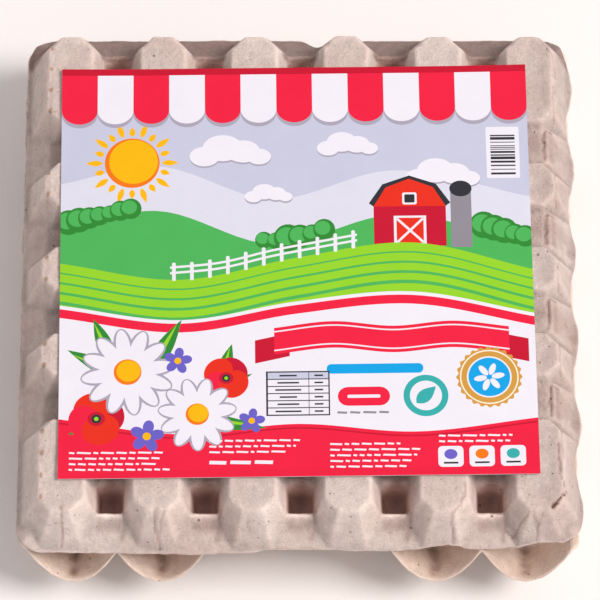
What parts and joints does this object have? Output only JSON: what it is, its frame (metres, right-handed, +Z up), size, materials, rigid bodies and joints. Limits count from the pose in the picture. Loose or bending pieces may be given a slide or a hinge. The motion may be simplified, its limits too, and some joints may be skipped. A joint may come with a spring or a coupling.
{
  "type": "egg carton with eggs",
  "caption": "Shut square pack of eggs in moulded-pulp trays: a lower tray, a second tray turned over on it as a lid, and a printed card label on top.",
  "frame": {"origin": "under the middle of the pack, on the plane of the lower tray's feet", "axes": "+X to the right, +Y to the back edge with the finger notch, +Z up through the trays to the label"},
  "size_m": [0.2937, 0.309, 0.0788],
  "materials": {
    "moulded_pulp": "matt grey-beige recycled pulp with a rough fibrous face, dark flecks and rust-brown marks",
    "printed_card": "thin coated card printed in white, red, green and pale lavender fields"
  },
  "bodies": {
    "root": {"lower_tray": "moulded_pulp", "upper_tray": "moulded_pulp", "label": "printed_card"}
  },
  "joints": []
}
